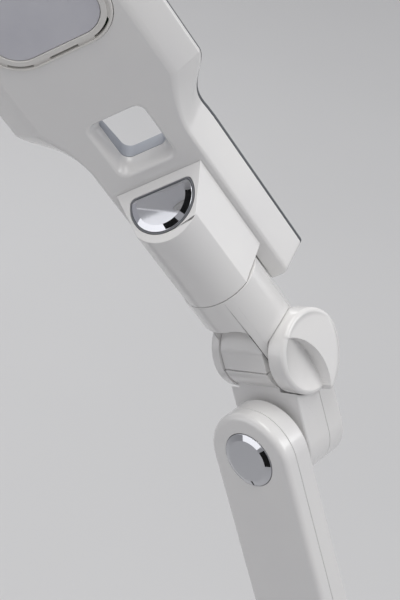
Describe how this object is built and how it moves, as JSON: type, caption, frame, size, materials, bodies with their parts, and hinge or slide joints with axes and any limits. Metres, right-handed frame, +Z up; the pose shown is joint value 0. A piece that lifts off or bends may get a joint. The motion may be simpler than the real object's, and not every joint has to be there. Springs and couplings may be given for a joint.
{
  "type": "articulated floor lamp",
  "caption": "Floor lamp with a weighted round foot, a column, a flat pivoting arm and a flat LED head with a finger opening on a rolling, tilting neck.",
  "frame": {"origin": "centre of the foot's underside, on the floor", "axes": "+Z up the column; the flat faces of the arm and the chrome pivot discs look along -Y; the arm leans towards -X"},
  "size_m": [0.517, 0.3339, 1.6243],
  "materials": {
    "white_plastic": "gloss",
    "white_paint": "gloss",
    "dark_plastic": "satin",
    "grey_plastic": "satin",
    "lens_frost": "frosted",
    "rim_plastic": "satin",
    "chrome": "mirror",
    "steel": "turned",
    "iron": "cast",
    "rubber": "matt",
    "nylon": "matt",
    "aluminium": "extruded",
    "board": "satin",
    "brass": "turned",
    "box_plastic": "matt"
  },
  "bodies": {
    "stand": {"base_pad": "rubber", "base_weight": "iron", "base_cover": "white_paint", "base_power_inlet": "rubber", "column_tube": "white_paint", "column_plug": "aluminium", "column_bolt": "steel", "column_collar": "chrome", "swivel_bush": "nylon"},
    "turret": {"turret_front_shell": "white_plastic", "turret_rear_shell": "white_plastic", "turret_stub": "chrome", "lower_pivot_pin": "steel", "lower_pivot_washer": "nylon"},
    "arm": {"arm_front_shell": "white_plastic", "arm_rear_shell": "white_plastic", "arm_spine": "aluminium", "arm_screw_1": "steel", "arm_screw_2": "steel", "arm_screw_3": "steel", "arm_screw_4": "steel", "lower_pivot_nut": "steel", "lower_disc_cap": "chrome", "upper_pivot_nut": "steel", "upper_disc_cap": "chrome"},
    "block": {"block_front_shell": "white_plastic", "block_rear_shell": "white_plastic", "block_core": "white_plastic", "upper_pivot_pin": "steel", "upper_pivot_washer": "nylon"},
    "neck": {"neck_fork": "white_plastic", "hinge_washer_left": "nylon", "hinge_bolt": "steel", "swivel_tube": "steel"},
    "knob": {"clamp_knob": "white_plastic", "knob_nut": "brass"},
    "head": {"neck_top": "white_plastic", "head_front_shell": "white_plastic", "head_back_cover": "grey_plastic", "lens": "lens_frost", "lens_rim": "rim_plastic", "led_board": "board", "heat_sink": "aluminium", "led_driver": "box_plastic", "button_bezel": "dark_plastic", "button_switch": "dark_plastic", "button_spring": "steel"},
    "button": {"button_cap": "chrome"}
  },
  "joints": [
    {"name": "column_swivel", "type": "hinge", "parent": "stand", "child": "turret", "pos_m": [0, 0, 0.63], "axis": [0, 0, 1], "range_deg": [-170, 170]},
    {"name": "arm_pivot", "type": "hinge", "parent": "turret", "child": "arm", "pos_m": [0, -0.0455, 0.702], "axis": [0, 1, 0], "range_deg": [-56.3, 93.7]},
    {"name": "block_pivot", "type": "hinge", "parent": "arm", "child": "block", "pos_m": [-0.16672, -0.0455, 1.19455], "axis": [0, 1, 0], "range_deg": [-90, 90]},
    {"name": "head_tilt", "type": "hinge", "parent": "block", "child": "neck", "pos_m": [-0.18493, -0.0015, 1.24835], "axis": [0.9472, 0, 0.3206], "range_deg": [-70, 48]},
    {"name": "knob_turn", "type": "hinge", "parent": "neck", "child": "knob", "pos_m": [-0.18493, -0.0015, 1.24835], "axis": [0.9472, 0, 0.3206], "range_deg": [-90, 90]},
    {"name": "head_roll", "type": "hinge", "parent": "neck", "child": "head", "pos_m": [-0.20444, -0.03001, 1.30599], "axis": [-0.2903, -0.4242, 0.8578], "range_deg": [-121.7, 58.3]},
    {"name": "button_press", "type": "slide", "parent": "head", "child": "button", "axis": [0.0403, 0.6812, -0.731], "range_m": [0, 0.0015], "stiffness_N_per_m": 900, "springref_m": -0.001}
  ]
}
